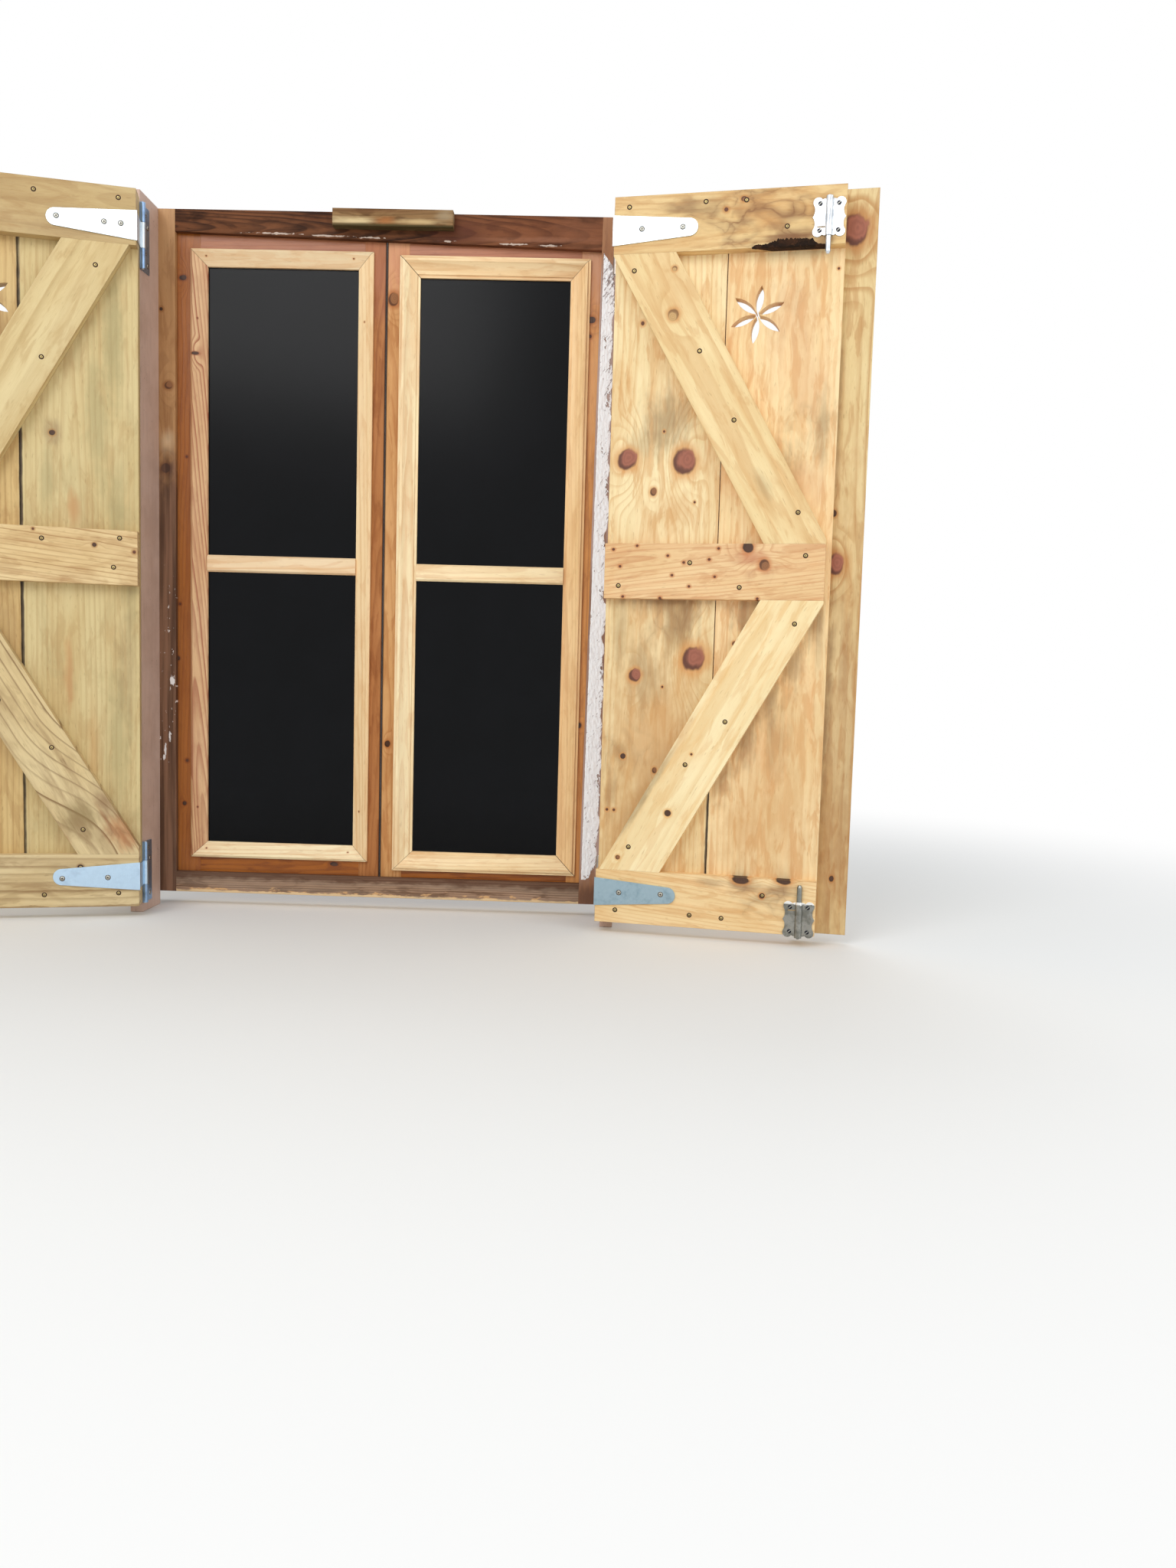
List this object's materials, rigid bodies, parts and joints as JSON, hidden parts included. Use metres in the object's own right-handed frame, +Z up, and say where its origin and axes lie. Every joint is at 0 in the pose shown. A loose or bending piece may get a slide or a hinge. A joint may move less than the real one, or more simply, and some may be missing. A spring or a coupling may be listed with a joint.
{
  "type": "window shutters",
  "caption": "Ledged and braced board shutters on strap hinges, standing open in the reveal of a timber window with glazed inward-opening casements.",
  "frame": {"origin": "centre of the window frame's underside, on the underside of the bottom rail", "axes": "+X to the right seen from outside, +Y into the room, +Z up"},
  "size_m": [1.6004, 0.2815, 1.235],
  "materials": {
    "old_frame_wood": "old stained softwood, weathered, with traces of white paint",
    "lining_paint": "board painted pinkish brown, satin",
    "rough_pine": "rough sawn, unfinished",
    "left_shutter_pine": "pale varnished pine",
    "right_shutter_pine": "golden varnished pine",
    "sash_varnish": "orange-brown varnished pine",
    "bead_pine": "pale pine, clear varnish",
    "button_wood": "stained hardwood",
    "window_glass": "clear",
    "zinc_hinge": "zinc plated, dull",
    "zinc_bolt": "zinc plated, bright",
    "butt_steel": "plain steel, dull"
  },
  "bodies": {
    "frame": {"frame_head": "old_frame_wood", "frame_bottom_rail": "old_frame_wood", "frame_jamb_left": "old_frame_wood", "frame_jamb_right": "old_frame_wood", "lining_left": "lining_paint", "lining_right": "lining_paint", "head_block": "rough_pine", "left_hinge_leaves": "zinc_hinge", "right_hinge_leaves": "zinc_hinge", "shutter_hinge_pins": "zinc_hinge", "frame_hinge_leaves": "butt_steel", "casement_hinge_pins": "butt_steel"},
    "left_shutter": {"left_hinge_board": "left_shutter_pine", "left_free_board": "left_shutter_pine", "left_top_ledge": "left_shutter_pine", "left_middle_ledge": "left_shutter_pine", "left_bottom_ledge": "left_shutter_pine", "left_upper_brace": "left_shutter_pine", "left_lower_brace": "left_shutter_pine", "left_top_strap": "zinc_hinge", "left_bottom_strap": "zinc_hinge"},
    "left_casement": {"left_hinge_stile": "sash_varnish", "left_meeting_stile": "sash_varnish", "left_sash_top_rail": "sash_varnish", "left_sash_bottom_rail": "sash_varnish", "left_glass": "window_glass", "left_glazing_bar": "bead_pine", "left_hinge_bead": "bead_pine", "left_meeting_bead": "bead_pine", "left_top_bead": "bead_pine", "left_bottom_bead": "bead_pine", "left_sash_hinge_leaves": "butt_steel"},
    "right_shutter": {"right_hinge_board": "right_shutter_pine", "right_free_board": "right_shutter_pine", "right_top_ledge": "right_shutter_pine", "right_middle_ledge": "right_shutter_pine", "right_bottom_ledge": "right_shutter_pine", "right_upper_brace": "right_shutter_pine", "right_lower_brace": "right_shutter_pine", "right_top_strap": "zinc_hinge", "right_bottom_strap": "zinc_hinge", "right_cover_strip": "right_shutter_pine", "top_bolt_case": "zinc_bolt", "bottom_bolt_case": "zinc_bolt"},
    "right_casement": {"right_hinge_stile": "sash_varnish", "right_meeting_stile": "sash_varnish", "right_sash_top_rail": "sash_varnish", "right_sash_bottom_rail": "sash_varnish", "right_glass": "window_glass", "right_glazing_bar": "bead_pine", "right_hinge_bead": "bead_pine", "right_meeting_bead": "bead_pine", "right_top_bead": "bead_pine", "right_bottom_bead": "bead_pine", "right_sash_hinge_leaves": "butt_steel"},
    "top_bolt": {"top_bolt_rod": "zinc_bolt"},
    "bottom_bolt": {"bottom_bolt_rod": "zinc_bolt"},
    "turn_button": {"turn_button": "button_wood"}
  },
  "joints": [
    {"name": "left_shutter_swing", "type": "hinge", "parent": "frame", "child": "left_shutter", "pos_m": [-0.401, -0.105, 0.6], "axis": [0, 0, 1], "range_deg": [-14.8, 165.2]},
    {"name": "right_shutter_swing", "type": "hinge", "parent": "frame", "child": "right_shutter", "pos_m": [0.401, -0.105, 0.6], "axis": [0, 0, 1], "range_deg": [-168.9, 8.8]},
    {"name": "left_casement_swing", "type": "hinge", "parent": "frame", "child": "left_casement", "pos_m": [-0.383, 0.029, 0.6], "axis": [0, 0, 1], "range_deg": [0, 95]},
    {"name": "right_casement_swing", "type": "hinge", "parent": "frame", "child": "right_casement", "pos_m": [0.3825, 0.029, 0.6], "axis": [0, 0, 1], "range_deg": [-95, 0]},
    {"name": "turn_button_pivot", "type": "hinge", "parent": "frame", "child": "turn_button", "pos_m": [-0.003, 0.025, 1.196], "axis": [0, 1, 0], "range_deg": [0, 90]},
    {"name": "top_bolt_slide", "type": "slide", "parent": "right_shutter", "child": "top_bolt", "axis": [0, 0, 1], "range_m": [0, 0.035]},
    {"name": "bottom_bolt_slide", "type": "slide", "parent": "right_shutter", "child": "bottom_bolt", "axis": [0, 0, -1], "range_m": [0, 0.035]}
  ]
}
